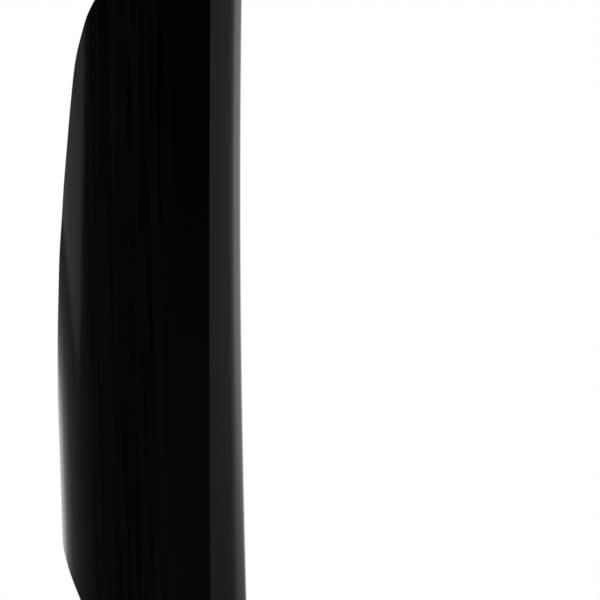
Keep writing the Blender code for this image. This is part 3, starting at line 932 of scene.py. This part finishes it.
# On either side: degrees away from the front, and the level there.
OUTER_SIDE_LIGHT = (
    (0, 0.035), (40, 0.025), (63, 0.034), (75, 0.047), (85, 0.06), (107, 0.12), (129, 0.25), (140, 0.48),
    (148, 0.71), (151, 1.0),
)
WHEEL_SIDE_FROM_TO = (-0.1, 0.3)
WHEEL_SIDE_LIGHT = (
    (0, 0.035), (76, 0.22), (94, 0.29), (106, 0.36), (120, 0.49), (127, 0.6), (133, 0.95), (138, 1.0),
)


class GUARD_OT_studio(bpy.types.Operator):
    """Makes the pale floor, the soft light and the camera"""

    bl_idname = "fork_guard.studio"
    bl_label = "Studio"

    def execute(self, context):
        scene, studio = context.scene, context.scene.guard_studio
        self.make_floor(studio)
        self.make_world(scene)
        self.make_camera(scene, studio)
        scene.view_settings.view_transform = "Standard"
        return {"FINISHED"}

    def make_floor(self, studio):
        bm = bmesh.new()
        bmesh.ops.create_circle(bm, cap_ends=True, segments=FLOOR_SIDES, radius=studio.floor_radius)
        bmesh.ops.translate(bm, verts=bm.verts, vec=(0, 0, PACKED_BOX[0].z))
        floor = new_object("floor", bm)
        floor.visible_glossy = False
        material, node, nodes = new_material("painted_board_white_matt")
        board = nodes["Principled BSDF"]
        feed(board, {"Base Color": linear(studio.floor_colour), "Roughness": 0.9, "Specular IOR Level": 0.0})
        # The board fades into the white background before its edge.
        distance = node(VECTOR_MATH, node("ShaderNodeTexCoord").outputs["Object"], operation="LENGTH")
        fades_from, share = FLOOR_FADES
        fade = node(MAP_RANGE, distance.outputs["Value"], fades_from, studio.floor_radius * share)
        mixed = node("ShaderNodeMixShader", fade, board, node("ShaderNodeEmission"))
        feed(nodes["Material Output"], {"Surface": mixed})
        floor.data.materials.append(material)

    def make_world(self, scene):
        world = bpy.data.worlds.new("studio")
        scene.world = world
        world.use_nodes = True
        world.cycles.sampling_method = "NONE"
        node = partial(add, world.node_tree)
        x, y, z = node(SEPARATE, node("ShaderNodeTexCoord").outputs["Generated"]).outputs
        # What the gloss sees: a white backdrop behind the guard, dark cloth round the camera.
        angle = node("ARCCOSINE", node("MULTIPLY", y, -1.0))
        share = node("DIVIDE", angle, math.pi)
        sides = []
        for stops in (OUTER_SIDE_LIGHT, WHEEL_SIDE_LIGHT):
            ramp = node("ShaderNodeValToRGB", share)
            elements = ramp.color_ramp.elements
            while len(elements) < len(stops):
                elements.new(0.5)
            for element, (degrees, level) in zip(elements, stops):
                element.position = degrees / 180
                element.color = (level, level, level, 1.0)
            sides.append(ramp.outputs["Color"])
        around = node(MIX, {0: node(MAP_RANGE, x, *WHEEL_SIDE_FROM_TO), 2: sides[0], 3: sides[1]})
        above = node(MAP_RANGE, z, *CLOTH_BY_HEIGHT)
        darkened = node(MIX, {0: node(MAP_RANGE, angle, *CLOTH_ASIDE), 2: above, 3: 1.0})
        cloth = node("MULTIPLY", around, darkened)
        # A soft box overhead, and the floor's own paleness below.
        paleness = node(MAP_RANGE, angle, *FLOOR_PALENESS, interpolation_type="SMOOTHSTEP")
        under = node(MAP_RANGE, z, *FLOOR_HEIGHTS, paleness)
        gloss = node("MAXIMUM", cloth, node("MAXIMUM", node(MAP_RANGE, z, *SOFT_BOX), under))
        rays = node("ShaderNodeLightPath").outputs
        mirrored = node("MAXIMUM", rays["Is Glossy Ray"], rays["Is Transmission Ray"])
        lit = node(MIX, {0: mirrored, 2: node(MAP_RANGE, z, *EVEN_LIGHT), 3: gloss})
        seen = node(MIX, {0: rays["Is Camera Ray"], 2: lit, 3: 1.0})
        feed(world.node_tree.nodes["Background"], {"Color": (1.0, 1.0, 1.0, 1.0), "Strength": seen})

    def make_camera(self, scene, studio):
        camera = bpy.data.objects.new("camera", bpy.data.cameras.new("camera"))
        scene.collection.objects.link(camera)
        camera.data.lens = studio.lens
        side = studio.picture * studio.pixel
        distance = side * studio.lens / camera.data.sensor_width
        crease = scene.section_sizes.front_width / 2
        across = crease + (studio.picture / 2 - studio.column) * studio.pixel
        camera.location = (across, studio.plane - distance, studio.row - side / 2)
        camera.rotation_euler = (math.pi / 2, 0.0, 0.0)
        camera.data.clip_end = distance * 3
        scene.camera = camera


class GUARD_PT_panel(bpy.types.Panel):
    """Lists the guard's steps and sizes"""

    bl_idname = "GUARD_PT_panel"
    bl_label = "Fork Guard"
    bl_space_type = "VIEW_3D"
    bl_region_type = "UI"
    bl_category = "Fork Guard"

    def draw(self, context):
        for operator in OPERATORS:
            self.layout.operator(operator.bl_idname)
        for name in GROUPS:
            settings = getattr(context.scene, name)
            box = self.layout.box()
            box.label(text=settings.bl_rna.description)
            for p in settings.bl_rna.properties:
                if p.type in {"FLOAT", "INT", "STRING"} and p.identifier != "name":
                    box.prop(settings, p.identifier)


GROUPS = {
    "shell_sizes": ShellSizes,
    "section_sizes": SectionSizes,
    "foot_sizes": FootSizes,
    "guard_finish": Finish,
    "guard_studio": Studio,
}
OPERATORS = (
    GUARD_OT_shell, GUARD_OT_pad, GUARD_OT_ribs, GUARD_OT_bolt_holes, GUARD_OT_finish, GUARD_OT_studio,
)


def register():
    for cls in (*GROUPS.values(), *OPERATORS, GUARD_PT_panel):
        bpy.utils.register_class(cls)
    for name, cls in GROUPS.items():
        setattr(bpy.types.Scene, name, PointerProperty(type=cls))


def unregister():
    for name in GROUPS:
        delattr(bpy.types.Scene, name)
    for cls in reversed((*GROUPS.values(), *OPERATORS, GUARD_PT_panel)):
        bpy.utils.unregister_class(cls)


def main():
    """Builds everything."""
    register()
    bpy.ops.fork_guard.shell()
    bpy.ops.fork_guard.pad()
    bpy.ops.fork_guard.ribs()
    bpy.ops.fork_guard.bolt_holes()
    bpy.ops.fork_guard.finish()
    bpy.ops.fork_guard.studio()


if __name__ == "__main__":
    main()
